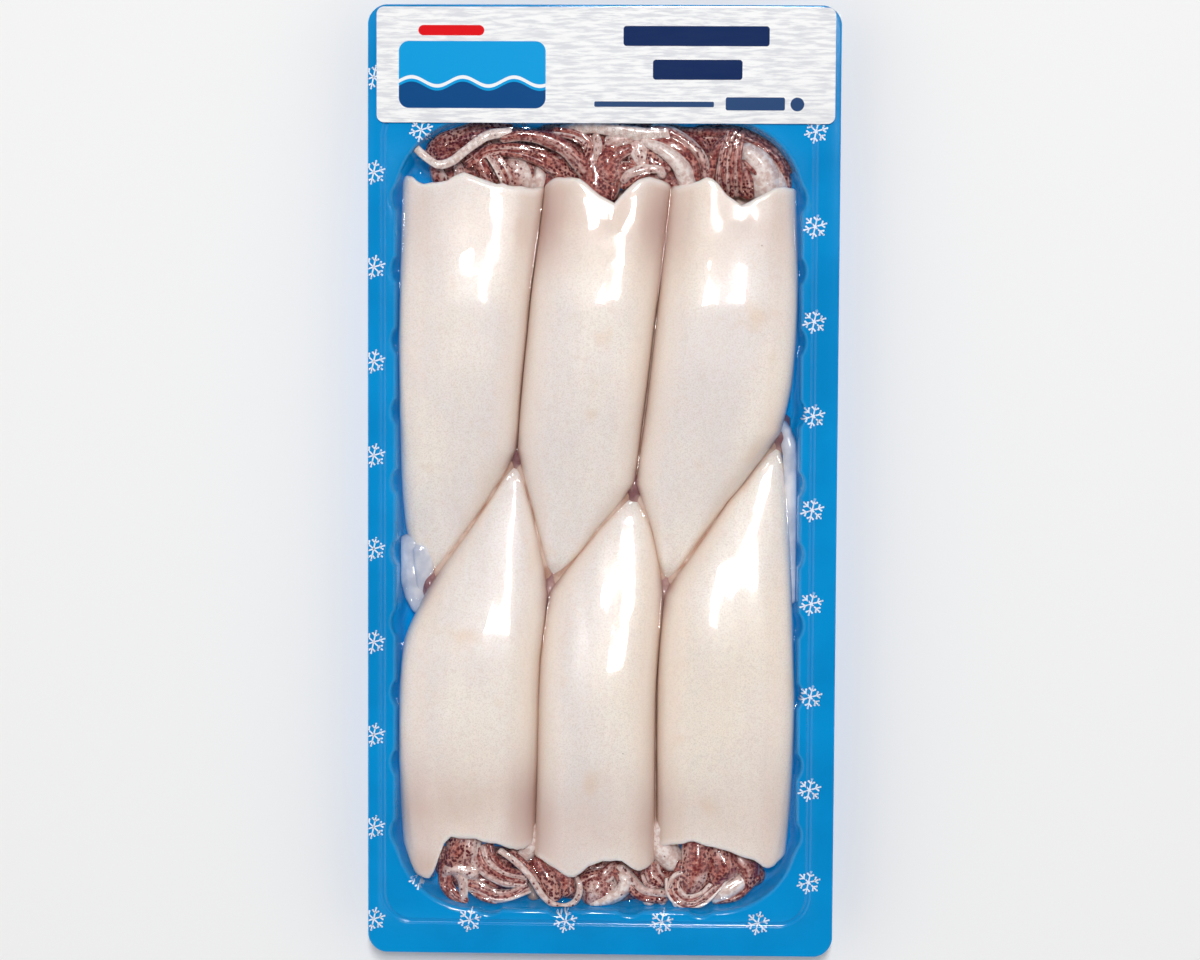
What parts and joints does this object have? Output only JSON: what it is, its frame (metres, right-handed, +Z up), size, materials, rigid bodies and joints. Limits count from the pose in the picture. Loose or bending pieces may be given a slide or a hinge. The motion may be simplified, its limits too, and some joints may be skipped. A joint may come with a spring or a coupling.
{
  "type": "pack of cleaned raw squid in a tray",
  "caption": "Blue thermoformed tray of cleaned raw squid tubes with their arms, laid head to tail under sealed clear film, with a plain header label.",
  "frame": {"origin": "under the middle of the tray's outline, on the surface that it rests on", "axes": "+Y towards the labelled end, +X across the pack, +Z up out of the tray's well"},
  "size_m": [0.138, 0.28, 0.0206],
  "materials": {
    "tray_blue": "glossy thermoformed sheet",
    "film_clear": "clear glossy film",
    "label_card": "brushed white with plain colour fields",
    "squid_flesh": "wet cream flesh",
    "squid_skin": "wet speckled skin"
  },
  "bodies": {
    "root": {"tray": "tray_blue", "film": "film_clear", "header_label": "label_card", "mantle_1": "squid_flesh", "mantle_2": "squid_flesh", "mantle_3": "squid_flesh", "mantle_4": "squid_flesh", "mantle_5": "squid_flesh", "mantle_6": "squid_flesh", "arms_1": "squid_skin", "arms_2": "squid_skin", "arms_3": "squid_skin", "arms_4": "squid_skin", "arms_5": "squid_skin", "arms_6": "squid_skin"}
  },
  "joints": []
}
